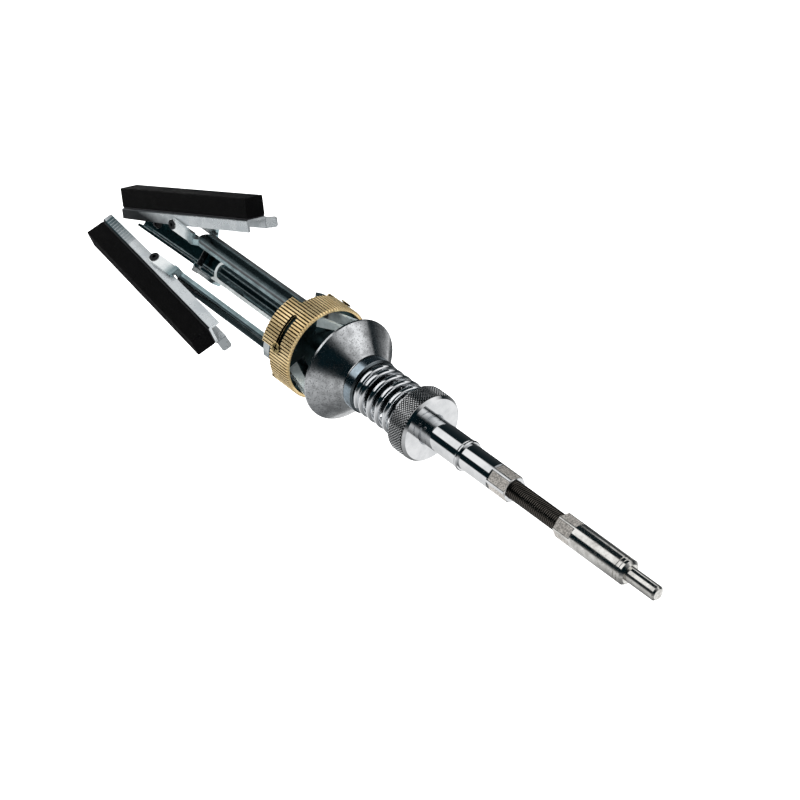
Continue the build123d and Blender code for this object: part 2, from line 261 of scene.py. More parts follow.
class SurfaceGraph(NodeGraph):
    """The node tree of one material, with the patterns that the finishes share."""

    def __init__(self, material: bpy.types.Material) -> None:
        """Starts from the material's own shader.

        Args:
            material: A new material, which gets its nodes here.
        """
        material.use_nodes = True
        super().__init__(material.node_tree)
        self.shader = self.tree.nodes["Principled BSDF"]
        place = self.node("ShaderNodeTexCoord")
        self.place = Value(self, place.outputs["Object"])

    def axes(self) -> tuple[Value, Value, Value]:
        """The object coordinates X, Y and Z, in metres."""
        parts = self.node("ShaderNodeSeparateXYZ", None, {0: self.place})
        return tuple(Value(self, parts.outputs[k]) for k in range(3))

    def radius(self) -> Value:
        """The distance from the tool's axis, in metres."""
        across, depth, _ = self.axes()
        return (across * across + depth * depth) ** 0.5

    def stretched(self, scale: tuple[float, float, float]) -> Value:
        """Object coordinates, scaled differently along each axis."""
        made = self.node("ShaderNodeMapping", None, {"Vector": self.place, "Scale": scale})
        return Value(self, made.outputs[0])

    def noise(self, scale: float, detail: float = 4.0, along: Value | None = None, rough: float = 0.55) -> Value:
        """A cloud of soft spots.

        Args:
            scale: How many spots there are to a metre.
            detail: How much finer detail they have.
            along: The coordinates to use, if not the object's own.
            rough: How strong the finer detail is.

        Returns:
            The cloud, from 0 to 1.
        """
        inputs = {"Vector": along or self.place, "Scale": scale, "Detail": detail, "Roughness": rough}
        made = self.node("ShaderNodeTexNoise", None, inputs)
        return Value(self, made.outputs["Fac"])

    def spots(self, scale: float) -> Value:
        """The distance to the nearest of many scattered points, in cells."""
        made = self.node("ShaderNodeTexVoronoi", None, {"Vector": self.place, "Scale": scale})
        return Value(self, made.outputs["Distance"])

    def bump(self, height: Value, distance: float) -> None:
        """Raises the surface's shading by a height pattern.

        Args:
            height: The pattern, from 0 to 1.
            distance: How far a height of 1 stands out, in metres.
        """
        inputs = {"Height": height, "Distance": distance, "Strength": 1.0}
        made = self.node("ShaderNodeBump", None, inputs)
        self.feed(self.shader.inputs["Normal"], made.outputs[0])

    def set(self, **values: Value | Number | Colour) -> None:
        """Sets the shader's sockets, with underscores for the spaces in their names."""
        for name, value in values.items():
            self.feed(self.shader.inputs[name.replace("_", " ")], value)


@dataclass(frozen=True)
class Finish:
    """What every finish has: a name, the record's slot and a way to paint itself."""

    name: str
    slot: str

    def paint(self, graph: SurfaceGraph) -> None:
        """Adds the finish's own nodes."""
        raise NotImplementedError

    def material(self) -> bpy.types.Material:
        """The finish as a material.

        Returns:
            The material, which is made once and then kept.
        """
        found = bpy.data.materials.get(self.name)
        if found is None:
            found = bpy.data.materials.new(self.name)
            self.paint(SurfaceGraph(found))
        return found

    def dress(self, node: bpy.types.Object) -> None:
        """Gives the finish to every slot of a CAD node.

        Args:
            node: The CAD node's object.
        """
        if not node.material_slots:
            node.data.materials.append(self.material())
        for place in node.material_slots:
            place.material = self.material()


@dataclass(frozen=True)
class StainAndShade:
    """Colour on part of a metal piece between two levels, with more or less mottle in it: real grime, wear and tone,
    and also painted shade and painted highlights.
    """

    low: float
    high: float
    colour: Colour
    roughness: float = 0.45
    metal: float = 1.0
    edge: float = 0.3 * MM
    mottle: float = 0.0

    def share(self, graph: SurfaceGraph, patches: Value) -> Value:
        """How much it covers.

        Args:
            graph: The material's graph.
            patches: The metal's own soft patches, which make some of these marks uneven.

        Returns:
            The share, from 0 to 1, which falls to 0 over the edge at each level.
        """
        level = graph.axes()[2]
        return ((level - self.low) / self.edge).clamped() * ((self.high - level) / self.edge).clamped()


@dataclass(frozen=True)
class RootStainAndShade(StainAndShade):
    """Colour that fills what lies under a turned piece's crests, down to its reach in depths: the crimped panels' own
    tone, and painted shade in grooves, recesses and slots.
    """

    crest_radius: float = 22.0 * MM
    depth: float = 0.3 * MM
    reach: float = 4.0
    uneven: float = 0.4
    filled: Stops = ((0.20, 0.0), (0.70, 1.0))

    def share(self, graph: SurfaceGraph, patches: Value) -> Value:
        """How much it covers, by the depth under the crests.

        Args:
            graph: The material's graph.
            patches: The metal's own soft patches.

        Returns:
            The share, which is 0 on the crests and past the reach.
        """
        low = (self.crest_radius - graph.radius()) / self.depth
        root = graph.ramp(low + self.uneven * (patches - 0.5), *self.filled)
        return super().share(graph, patches) * root * (low < self.reach)


@dataclass(frozen=True)
class FacingShading(StainAndShade):
    """Painted shade, or a painted highlight where its colour is light, on the faces that look at the tool's axis, or
    away from it if the side is -1, within a radius.
    """

    side: float = 1.0
    start: float = 0.45
    full: float = 0.75
    within: float = 1.0
    uneven: float = 0.2

    def share(self, graph: SurfaceGraph, patches: Value) -> Value:
        """How much the painted shade or highlight covers, by how squarely a face looks at the axis or away from it.

        Args:
            graph: The material's graph.
            patches: The metal's own soft patches.

        Returns:
            The share, from 0 to 1.
        """
        across, depth, _ = graph.axes()
        facing = graph.node("ShaderNodeTexCoord").outputs["Normal"]
        parts = graph.node("ShaderNodeSeparateXYZ", None, {0: facing})
        facing_x, facing_y = (Value(graph, parts.outputs[k]) for k in range(2))
        radius = graph.radius()
        inward = (facing_x * across + facing_y * depth) / radius * -self.side
        facing_share = graph.ramp(inward + self.uneven * (patches - 0.5), (self.start, 0.0), (self.full, 1.0))
        return super().share(graph, patches) * facing_share * (radius < self.within)


@dataclass(frozen=True)
class BandShading(FacingShading):
    """Painted bands of shade and of highlight along the arms and holders, each at its own place across the web's
    width.
    """

    width: float = 10.6 * MM
    bands: Stops = ()

    def share(self, graph: SurfaceGraph, patches: Value) -> Value:
        """How much the bands cover, by the distance from the middle line of the nearest arm.

        Args:
            graph: The material's graph.
            patches: The metal's own soft patches.

        Returns:
            The share, from 0 to 1.
        """
        across, depth, _ = graph.axes()
        thirds = graph.math("ARCTAN2", depth, across) * (len(Arm) / math.tau)
        from_arm = (thirds - graph.math("ROUND", thirds)) * (math.tau / len(Arm))
        beside = graph.radius() * from_arm.sine()
        return super().share(graph, patches) * graph.ramp(beside / self.width + 0.5, *self.bands)


@dataclass(frozen=True)
class TickMarksAndShade(StainAndShade):
    """Painted shade that deepens towards the lower level, with light cross marks in it."""

    pitch: float = 2.1 * MM
    mark_from: float = 0.80
    mark_share: float = 0.7
    least: float = 0.25
    deepening: float = 0.65

    def share(self, graph: SurfaceGraph, patches: Value) -> Value:
        """How deep the shade is, less at each mark.

        Args:
            graph: The material's graph.
            patches: The metal's own soft patches.

        Returns:
            The share, from 0 to 1.
        """
        level = graph.axes()[2]
        mark = (level * math.tau / self.pitch).sine() > self.mark_from
        fall = ((self.high - level) / (self.high - self.low)).clamped()
        shade = self.least + self.deepening * fall
        return super().share(graph, patches) * shade * (1.0 - self.mark_share * mark)


@dataclass(frozen=True)
class StreakStain(StainAndShade):
    """Lighter drawn streaks along the sheet."""

    density: float = 230.0
    streaks: Stops = ((0.50, 0.0), (0.68, 0.25))

    def share(self, graph: SurfaceGraph, patches: Value) -> Value:
        """How much the streaks cover."""
        streaks = graph.noise(self.density, 0.0, graph.stretched(DRAWN))
        return super().share(graph, patches) * graph.ramp(streaks, *self.streaks)


@dataclass(frozen=True)
class BrightMetal(Finish):
    """Polished or satin metal with fine lines, patches, a little dust, its own stains and its painted shade and
    highlights.
    """

    colour: Colour = (0.82, 0.83, 0.84)
    dull: Colour = (0.52, 0.54, 0.56)
    dull_share: float = 0.5
    roughness: float = 0.10
    spread: float = 0.12
    line_scale: tuple[float, float, float] = (1.0, 1.0, 1.0)
    line_height: float = 1.5e-6
    line_detail: float = 3.0
    line_density: float = 1400.0
    grain_density: float = 1500.0
    grain_detail: float = 2.0
    patch_scale: float = 110.0
    patch_detail: float = 6.0
    patch_rough: float = 0.65
    patch_height: float = 0.0
    wave_scale: float = 70.0
    wave_detail: float = 1.0
    wave_height: float = 0.0
    dust: float = 0.0
    dust_start: float = 0.66
    dust_fade: float = 0.06
    worn_patches: Stops = ((0.40, 0.0), (0.62, 1.0))
    darkened_tone: float = 0.45
    darkened_share: float = 0.7
    mottled_darkened_share: float = 0.28
    mottle_span: tuple[float, float] = (0.42, 0.58)
    metal: float = 1.0
    stains_and_shade: tuple[StainAndShade, ...] = ()

    def paint(self, graph: SurfaceGraph) -> None:
        """Paints patches, dust, stains and painted shade and highlights in the colour and roughness, and fine lines in
        the bump.

        Args:
            graph: The material's graph.
        """
        lines = graph.noise(self.line_density, self.line_detail, graph.stretched(self.line_scale))
        patches = graph.noise(self.patch_scale, self.patch_detail, rough=self.patch_rough)
        waves = graph.noise(self.wave_scale, self.wave_detail)
        grains = graph.noise(self.grain_density, self.grain_detail)
        specks = graph.ramp(grains, (self.dust_start, 0.0), (self.dust_start + self.dust_fade, 1.0)) * self.dust
        worn = graph.ramp(patches, *self.worn_patches)
        colour = graph.mix_colours((worn * self.dull_share + specks).clamped(), self.colour, self.dull)
        roughness = self.roughness + self.spread * worn * lines
        metal = self.metal
        for stain_and_shade in self.stains_and_shade:
            share = stain_and_shade.share(graph, patches)
            colour = graph.mix_colours(share, colour, self.stain_and_shade_colour(graph, stain_and_shade, worn, grains))
            roughness = roughness + share * (stain_and_shade.roughness - roughness)
            metal = metal + share * (stain_and_shade.metal - metal)
        graph.set(Base_Color=colour, Metallic=metal, Roughness=roughness)
        patch_share = self.patch_height / self.line_height
        wave_share = self.wave_height / self.line_height
        graph.bump(lines + patches * patch_share + waves * wave_share, self.line_height)

    def stain_and_shade_colour(self, graph: SurfaceGraph, stain_and_shade: StainAndShade, worn: Value, grains: Value) -> Value:
        """The colour of a stain or of painted shade or highlight, darker over the worn patches and the mottle.

        Args:
            graph: The material's graph.
            stain_and_shade: The stain, painted shade or painted highlight that is painted.
            worn: Where the metal's patches are worn.
            grains: The metal's fine grains, which the mottle shows.

        Returns:
            The colour.
        """
        uneven = worn * self.darkened_share
        if stain_and_shade.mottle:
            near, far = self.mottle_span
            mottled = graph.ramp(grains, (near, 0.0), (far, stain_and_shade.mottle))
            uneven = (worn * self.mottled_darkened_share + mottled).clamped()
        darkened = tuple(self.darkened_tone * part for part in stain_and_shade.colour)
        return graph.mix_colours(uneven, stain_and_shade.colour, darkened)


@dataclass(frozen=True)
class Grit(Finish):
    """Bonded abrasive: a matt dark body with fine bright and dark grains."""

    colour: Colour = (0.0008, 0.0008, 0.0009)
    grain_colour: Colour = (0.012, 0.012, 0.013)
    fleck_colour: Colour = (0.12, 0.12, 0.12)
    grain_scale: float = 3200.0
    grain_height: float = 9e-5
    grain_edge: Stops = ((0.10, 1.0), (0.40, 0.0))
    clear_share: float = 0.15
    cloud_scale: float = 120.0
    cloud_detail: float = 5.0
    cloud_edge: Stops = ((0.35, 0.0), (0.7, 1.0))
    fleck_scale: float = 700.0
    fleck_detail: float = 3.0
    fleck_edge: Stops = ((0.70, 0.0), (0.76, 1.0))
    clouded_flecks: Stops = ((0.5, 0.0), (1.0, 0.5))
    dust_scale: float = 2200.0
    dust_share: float = 0.3
    roughness: float = 0.70
    cloud_roughness: float = 0.2
    gloss: float = 0.05

    def paint(self, graph: SurfaceGraph) -> None:
        """Paints scattered grains in the colour and in the bump.

        Args:
            graph: The material's graph.
        """
        share = graph.ramp(graph.spots(self.grain_scale), *self.grain_edge)
        cloud = graph.ramp(graph.noise(self.cloud_scale, self.cloud_detail), *self.cloud_edge)
        clouded = self.clear_share + (1.0 - self.clear_share) * cloud
        dark = graph.mix_colours(share * clouded, self.colour, self.grain_colour)
        flecks = graph.ramp(graph.noise(self.fleck_scale, self.fleck_detail), *self.fleck_edge)
        flecks = flecks * graph.ramp(cloud, *self.clouded_flecks)
        graph.set(
            Base_Color=graph.mix_colours(flecks, dark, self.fleck_colour),
            Roughness=self.roughness + self.cloud_roughness * cloud,
            Specular_IOR_Level=self.gloss,
        )
        dust = self.dust_share * graph.noise(self.dust_scale)
        graph.bump(share * (1.0 - self.dust_share) + dust, self.grain_height)


@dataclass(frozen=True)
class MattBlack(Finish):
    """Plain dark material with a faint grain."""

    colour: Colour = (0.006, 0.006, 0.007)
    roughness: float = 0.6
    grain_scale: float = 1800.0
    grain_detail: float = 3.0
    grain_height: float = 1.5e-5
    grain_share: float = 0.5
    grain_tone: float = 3.0
    grain_polish: float = 0.15
    gloss: float = 0.2

    def paint(self, graph: SurfaceGraph) -> None:
        """Paints a faint grain over one dark colour.

        Args:
            graph: The material's graph.
        """
        grain = graph.noise(self.grain_scale, self.grain_detail)
        lighter = tuple(self.grain_tone * part for part in self.colour)
        graph.set(
            Base_Color=graph.mix_colours(grain * self.grain_share, self.colour, lighter),
            Roughness=self.roughness - self.grain_polish * grain,
            Specular_IOR_Level=self.gloss,
        )
        graph.bump(grain, self.grain_height)


# The levels, edges and faces that the stains and the painted shade and highlights on the pressed sheet share.
HOLDER_LEVELS = (-360.0 * MM, -240.0 * MM)
WEB_LEVELS = (-287.0 * MM, -206.0 * MM)
TROUGH_LEVELS = (-285.0 * MM, -206.0 * MM)
WEB_EDGE = 4.0 * MM
OUTER_FACES = {"side": -1.0, "start": 0.3, "full": 0.65}
CRIMPED: Colour = (0.74, 0.70, 0.65)
# Painted shade on the holders' faces that look at the tool's axis.
INNER_FACE_SHADE = FacingShading(*HOLDER_LEVELS, (0.02, 0.07, 0.085), 0.25)
# Painted shade on the same faces towards the holders' far ends, fading in and out over 35 mm.
FAR_END_SHADE = FacingShading(-350.0 * MM, -285.0 * MM, (0.05, 0.13, 0.14), 0.25, edge=35.0 * MM)
# A painted highlight line along the holders' faces that look at the axis.
INNER_HIGHLIGHT_LINE = BandShading(
    -345.0 * MM,
    -258.0 * MM,
    (0.55, 0.66, 0.68),
    roughness=0.2,
    metal=0.5,
    edge=20.0 * MM,
    bands=((0.13, 0.0), (0.16, 0.9), (0.19, 0.9), (0.23, 0.0)),
)
SEAM_SHADE = FacingShading(*HOLDER_LEVELS, (0.02, 0.025, 0.03), 0.4, **OUTER_FACES)
# Painted shade that deepens towards holder B's far end, with its light scale marks in it.
SCALE_MARKS_AND_SHADE = TickMarksAndShade(-340.0 * MM, -317.0 * MM, (0.03, 0.08, 0.095), 0.25)
# Painted shade in bands near the edges of the arms' outer web faces, lighter than the painted shade in their middle.
WEB_SHADE_BANDS = BandShading(
    *WEB_LEVELS,
    (0.068, 0.072, 0.075),
    roughness=0.3,
    metal=0.4,
    edge=WEB_EDGE,
    bands=(
        (0.02, 1.0), (0.06, 0.3), (0.09, 0.5), (0.14, 1.0), (0.28, 0.9), (0.40, 0.05),
        (0.46, 0.0), (0.70, 0.0), (0.82, 0.3), (0.92, 0.5), (0.97, 1.0),
    ),
    **OUTER_FACES,
)
WEB_SHADE = BandShading(
    *WEB_LEVELS,
    (0.012, 0.024, 0.027),
    roughness=0.08,
    metal=0.9,
    edge=WEB_EDGE,
    bands=((0.32, 0.0), (0.42, 0.95), (0.70, 0.95), (0.82, 0.5), (0.95, 0.1)),
    **OUTER_FACES,
)
SIDE_SHADE = replace(
    WEB_SHADE,
    colour=(0.012, 0.020, 0.022),
    bands=((0.04, 0.4), (0.10, 0.97), (0.62, 0.97), (0.78, 0.4), (0.95, 0.0)),
)
TROUGH_SHADE = BandShading(
    *TROUGH_LEVELS,
    (0.010, 0.028, 0.032),
    roughness=0.08,
    metal=0.85,
    edge=WEB_EDGE,
    bands=((0.28, 0.6), (0.42, 1.0), (0.58, 1.0), (0.72, 0.6)),
)
# Two painted highlight lines along the inside of the arms' troughs.
TROUGH_HIGHLIGHT_LINES = BandShading(
    *TROUGH_LEVELS,
    (0.20, 0.25, 0.26),
    roughness=0.3,
    metal=0.4,
    edge=WEB_EDGE,
    bands=((0.34, 0.0), (0.37, 0.8), (0.40, 0.8), (0.43, 0.0), (0.58, 0.0), (0.61, 0.9), (0.65, 0.9), (0.68, 0.0)),
)


def crimp(low: float, high: float, crest_radius: float) -> RootStainAndShade:
    """The mottled tone of a crimped end's panels, under the crests of a turned piece."""
    return RootStainAndShade(low, high, CRIMPED, 0.28, 0.75, mottle=0.9, crest_radius=crest_radius)


POLISHED = BrightMetal(
    "polished_spindle_steel",
    "polished_steel",
    roughness=0.05,
    spread=0.08,
    line_scale=TURNED,
    dust=0.3,
    stains_and_shade=(
        crimp(-76.5 * MM, -66.0 * MM, 5.95 * MM),
        # Painted shade on the spindle where it runs inside the spring and the cone.
        StainAndShade(-170.0 * MM, -129.0 * MM, (0.02, 0.028, 0.032), 0.3),
    ),
)
NUT_STEEL = BrightMetal(
    "knurled_nut_steel",
    "polished_steel",
    roughness=0.07,
    spread=0.08,
    stains_and_shade=(
        # Painted shade in the valleys between the knurl's diamonds.
        RootStainAndShade(-127.6 * MM, -118.8 * MM, (0.03, 0.03, 0.03), crest_radius=15.6 * MM, depth=0.42 * MM, reach=1.5),
    ),
)
SHANK_ZINC = BrightMetal(
    "plated_shank",
    "zinc",
    (0.86, 0.85, 0.82),
    (0.40, 0.385, 0.36),
    dull_share=0.6,
    spread=0.2,
    line_scale=TURNED,
    patch_scale=260.0,
    dust=0.5,
    stains_and_shade=(crimp(-38.2 * MM, -29.2 * MM, 5.5 * MM),),
)
SPRING_STEEL = BrightMetal(
    "spring_wire",
    "polished_steel",
    (0.90, 0.92, 0.94),
    (0.6, 0.62, 0.65),
    dull_share=0.2,
    roughness=0.03,
    spread=0.04,
)
SATIN_ZINC = BrightMetal(
    "satin_cone_zinc",
    "zinc",
    (0.80, 0.82, 0.84),
    (0.36, 0.37, 0.38),
    dull_share=0.75,
    roughness=0.12,
    spread=0.20,
    patch_scale=190.0,
    patch_height=1.0e-5,
    dust=0.8,
    dust_start=0.56,
    stains_and_shade=(
        # A pale bluish band round the cone's neck, as a painted reflection; a dark line at its foot, where it meets
        # the flare; and a darker band at its top edge, where the spring stands.
        StainAndShade(-160.6 * MM, -156.2 * MM, (0.56, 0.68, 0.77), 0.15, edge=0.2 * MM),
        StainAndShade(-156.3 * MM, -154.0 * MM, (0.18, 0.21, 0.225), 0.3, edge=0.1 * MM),
        StainAndShade(-161.0 * MM, -160.5 * MM, (0.04, 0.045, 0.05), 0.3, edge=0.15 * MM),
    ),
)
HOLDER_ZINC = BrightMetal(
    "pressed_holder_zinc",
    "holder_zinc",
    (0.54, 0.57, 0.585),
    (0.37, 0.405, 0.43),
    dull_share=0.6,
    roughness=0.24,
    spread=0.2,
    metal=0.7,
    stains_and_shade=(INNER_FACE_SHADE, FAR_END_SHADE, INNER_HIGHLIGHT_LINE, SEAM_SHADE),
)
# Holder B's copy, with its scale marks and their painted shade.
MARKED_ZINC = replace(HOLDER_ZINC, name="marked_holder_zinc", stains_and_shade=(*HOLDER_ZINC.stains_and_shade, SCALE_MARKS_AND_SHADE))
ARM_STEEL = BrightMetal(
    "pressed_arm_steel",
    "arm_steel",
    (0.93, 0.96, 0.96),
    (0.62, 0.68, 0.70),
    dull_share=0.6,
    roughness=0.12,
    spread=0.10,
    line_scale=(0.5, 0.5, 0.015),
    line_height=2.5e-6,
    line_detail=1.0,
    wave_height=1e-4,
    metal=0.8,
    stains_and_shade=(
        StainAndShade(-287.0 * MM, -196.0 * MM, (0.36, 0.48, 0.51), 0.05, 0.93, edge=WEB_EDGE),
        StreakStain(-290.0 * MM, -200.0 * MM, (0.50, 0.62, 0.64), 0.12, 0.72, edge=WEB_EDGE),
        WEB_SHADE,
        WEB_SHADE_BANDS,
        TROUGH_SHADE,
        TROUGH_HIGHLIGHT_LINES,
        # A painted highlight on the arms' faces that look at the axis, within 12.5 mm of it.
        FacingShading(-290.0 * MM, -204.0 * MM, (0.92, 0.97, 0.97), 0.2, 0.4, within=12.5 * MM),
        StainAndShade(-195.0 * MM, -160.0 * MM, (0.66, 0.75, 0.76), 0.25, 0.6, edge=2.0 * MM),
    ),
)
# Arm B's copy of the arm steel, with darker painted side shade in place of the web's painted shade and its bands.
ARM_STEEL_SHADED_COPY = replace(
    ARM_STEEL,
    name="shaded_arm_steel",
    stains_and_shade=tuple(SIDE_SHADE if stain_and_shade is WEB_SHADE else stain_and_shade for stain_and_shade in ARM_STEEL.stains_and_shade if stain_and_shade is not WEB_SHADE_BANDS),
)
BRASS = BrightMetal(
    "ribbed_brass",
    "brass",
    (0.90, 0.70, 0.39),
    (0.66, 0.46, 0.20),
    dull_share=0.6,
    roughness=0.23,
    spread=0.22,
    metal=0.8,
    # Painted shade in the grooves between the ribs and on the cut walls of the slots and notches.
    stains_and_shade=(RootStainAndShade(-206.8 * MM, -188.4 * MM, (0.035, 0.018, 0.006), depth=0.40 * MM, reach=3.4),),
)
SCREW_BRASS = BrightMetal(
    "worn_screw_brass",
    "brass",
    (0.80, 0.62, 0.30),
    (0.30, 0.20, 0.07),
    dull_share=0.7,
    roughness=0.2,
    spread=0.2,
    # Painted shade over each screw below its head's top face, the cross recess with it.
    stains_and_shade=(RootStainAndShade(-200.0 * MM, -193.0 * MM, (0.012, 0.008, 0.003), crest_radius=22.85 * MM, reach=40.0),),
)
HUB_STEEL = BrightMetal(
    "plated_hub_steel",
    "polished_steel",
    (0.80, 0.84, 0.85),
    (0.40, 0.46, 0.48),
    spread=0.2,
    roughness=0.12,
    # Painted shade on the hub where it sits inside the brass ring.
    stains_and_shade=(StainAndShade(-203.0 * MM, -188.0 * MM, (0.03, 0.06, 0.065), 0.3),),
)
DARK_STEEL = BrightMetal(
    "oiled_pin_steel",
    "polished_steel",
    (0.16, 0.16, 0.16),
    (0.04, 0.04, 0.04),
    dull_share=0.8,
    roughness=0.22,
    spread=0.2,
)
# Near-black holder pins.
RIVET_STEEL = replace(
    DARK_STEEL, name="near_black_rivet_steel", colour=(0.025, 0.028, 0.03), dull=(0.006, 0.007, 0.008)
)
WIRE = BrightMetal(
    "blackened_wire",
    "dark_wire",
    (0.12, 0.108, 0.096),
    (0.07, 0.062, 0.055),
    dull_share=0.4,
    roughness=0.14,
    spread=0.10,
)
# The flexible shaft's core, near black as painted shade in the gaps between its turns.
GAP_SHADE_CORE = MattBlack("coil_core", "dark_wire", (0.001, 0.001, 0.001), 0.8)
# Black between each stone and its holder, as painted shade in the gap there.
GAP_SHADE_BACKING = MattBlack("gap_shade_layer", "backing_black")
STONE = Grit("bonded_abrasive", "abrasive")


def linked(name: str, data: bpy.types.ID) -> bpy.types.Object:
    """Puts a new object into the scene.

    Args:
        name: The object's name.
        data: Its mesh, camera or light.

    Returns:
        The object, at the origin.
    """
    made = bpy.data.objects.new(name, data)
    bpy.context.scene.collection.objects.link(made)
    return made


class ShapeTree(NodeGraph):
    """A Geometry Nodes tree with named sizes, which is evaluated once into a plain mesh."""

    def __init__(self, name: str, sizes: dict[str, Number], blank: bpy.types.Mesh | None = None) -> None:
        """Makes the tree and one named input for each size.

        Args:
            name: The tree's name, and that of the piece it makes.
            sizes: Each size's name and value, in metres or as a count.
            blank: A mesh that the tree starts from, if it has one.
        """
        super().__init__(bpy.data.node_groups.new(name, "GeometryNodeTree"))
        self.name = name
        self.sizes = sizes
        self.blank = blank or bpy.data.meshes.new(name)
        self.keys = {}
        self.tree.interface.new_socket(name="Blank", in_out="INPUT", socket_type="NodeSocketGeometry")
        for label, value in sizes.items():
            kind = "NodeSocketInt" if isinstance(value, int) else "NodeSocketFloat"
            item = self.tree.interface.new_socket(name=label, in_out="INPUT", socket_type=kind)
            self.keys[label] = item.identifier
        self.tree.interface.new_socket(name="Shape", in_out="OUTPUT", socket_type="NodeSocketGeometry")
        self.entry = self.node("NodeGroupInput")

    def size(self, label: str) -> Value:
        """One of the tree's named inputs: a size, or the blank that it starts from."""
        return Value(self, self.entry.outputs[label])

    def vector(self, x: Value | Number, y: Value | Number, z: Value | Number) -> Value:
        """Three values as one vector."""
        return Value(self, self.node("ShaderNodeCombineXYZ", None, {0: x, 1: y, 2: z}).outputs[0])

    def joined(self, *parts: Value) -> Value:
        """Several shapes as one.

        Args:
            parts: The shapes.

        Returns:
            The joined shape.
        """
        made = self.node("GeometryNodeJoinGeometry")
        for part in parts:
            self.tree.links.new(part.socket, made.inputs[0])
        return Value(self, made.outputs[0])

    def index(self) -> Value:
        """The number of each point, from 0."""
        return Value(self, self.node("GeometryNodeInputIndex").outputs[0])

    def spiral(self, steps: int, turns: Value, radius: Value, height: Value) -> Value:
        """A coil's path up from the origin's level.

        Args:
            steps: How many corners each turn has.
            turns: How many turns it has.
            radius: Its radius.
            height: How far it rises.

        Returns:
            The path.
        """
        inputs = {"Resolution": steps, "Rotations": turns, "Height": height}
        inputs.update({"Start Radius": radius, "End Radius": radius})
        return Value(self, self.node("GeometryNodeCurveSpiral", None, inputs).outputs[0])

    def placed(self, shape: Value, place: Value) -> Value:
        """A shape with each of its points at a new place."""
        made = self.node("GeometryNodeSetPosition", None, {"Geometry": shape, "Position": place})
        return Value(self, made.outputs[0])

    def copies(self, points: Value, shape: Value, turn: Value) -> Value:
        """A shape at each point, with its Z axis turned away from the tool's axis."""
        inputs = {"Points": points, "Instance": shape, "Rotation": self.vector(0.0, math.pi / 2, turn)}
        return Value(self, self.node("GeometryNodeInstanceOnPoints", None, inputs).outputs[0])

    def moved(self, shape: Value, z: Value | Number) -> Value:
        """A shape moved along the tool's axis."""
        made = self.node("GeometryNodeTransform", None, {"Geometry": shape, "Translation": self.vector(0, 0, z)})
        return Value(self, made.outputs[0])

    def tube(self, path: Value, radius: Value, sides: int) -> Value:
        """A closed round tube along a path.

        Args:
            path: The curve that it follows.
            radius: The tube's radius.
            sides: How many sides it has.

        Returns:
            The tube.
        """
        circle = self.node("GeometryNodeCurvePrimitiveCircle", None, {"Resolution": sides, "Radius": radius})
        inputs = {"Curve": path, "Profile Curve": circle.outputs[0], "Fill Caps": True}
        made = self.node("GeometryNodeCurveToMesh", None, inputs)
        return Value(self, made.outputs[0])

    def painted(self, shape: Value, finish: Finish) -> Value:
        """A shape with one finish all over."""
        made = self.node("GeometryNodeSetMaterial", None, {0: shape, "Material": finish.material()})
        return Value(self, made.outputs[0])

    def finished(self, shape: Value, smooth: bool = True) -> bpy.types.Object:
        """Evaluates the tree and returns its result as a plain piece.

        Args:
            shape: The painted geometry to keep.
            smooth: Whether the faces are shaded smooth.

        Returns:
            The piece, at the origin, with no modifier left on it.
        """
        real = self.node("GeometryNodeRealizeInstances", None, {"Geometry": shape})
        shaded = self.node("GeometryNodeSetShadeSmooth", None, {0: real.outputs[0], "Shade Smooth": smooth})
        self.node("NodeGroupOutput", None, {0: shaded.outputs[0]})
        piece = linked(self.name, self.blank)
        modifier = piece.modifiers.new("shape", "NODES")
        modifier.node_group = self.tree
        for label, value in self.sizes.items():
            modifier[self.keys[label]] = value
        depsgraph = bpy.context.evaluated_depsgraph_get()
        mesh = bpy.data.meshes.new_from_object(piece.evaluated_get(depsgraph), depsgraph=depsgraph)
        piece.modifiers.remove(modifier)
        piece.data = mesh
        mesh.name = self.name
        return piece


@dataclass
class Flexible:
    """The wound flexible shaft, as two lengths of close coil on a core."""

    top: float = -30.0 * MM
    middle: float = -52.0 * MM
    bottom: float = -74.0 * MM
    radius: float = 4.05 * MM
    wire: float = 0.42 * MM
    pitch: float = 1.0 * MM
    bend_top: float = -40.0 * MM
    bend_bottom: float = -64.0 * MM
    steps: int = 24
    wire_sides: int = 8
    core_sides: int = 32

    def length(self, name: str, low: float, high: float) -> bpy.types.Object:
        """One length of close coil.

        Args:
            name: The piece's name.
            low: The level of its lower end.
            high: The level of its upper end.

        Returns:
            The piece.
        """
        turns = (high - low) / self.pitch
        tree = ShapeTree(name, {"Radius": self.radius, "Wire": self.wire, "Turns": turns, "Low": low, "High": high})
        mean = tree.size("Radius") - tree.size("Wire")
        span = tree.size("High") - tree.size("Low")
        coil = tree.tube(tree.spiral(self.steps, tree.size("Turns"), mean, span), tree.size("Wire"), self.wire_sides)
        sizes = {"Vertices": self.core_sides, "Radius": mean, "Depth": span}
        core = tree.node("GeometryNodeMeshCylinder", None, sizes)
        lifted = tree.moved(Value(tree, core.outputs[0]), span / 2)
        both = tree.joined(tree.painted(coil, WIRE), tree.painted(lifted, GAP_SHADE_CORE))
        return tree.finished(tree.moved(both, tree.size("Low")))

    def build(self) -> list[bpy.types.Object]:
        """Makes both lengths, bakes their places into their meshes and hides the CAD's flexible shaft.

        Returns:
            The two pieces.
        """
        upper = self.length("flex_coil_upper", self.middle, self.top)
        lower = self.length("flex_coil_lower", self.bottom, self.middle)
        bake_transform(upper)
        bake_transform(lower)
        for piece in (upper, lower):
            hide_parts("flex_shaft")
        return [upper, lower]


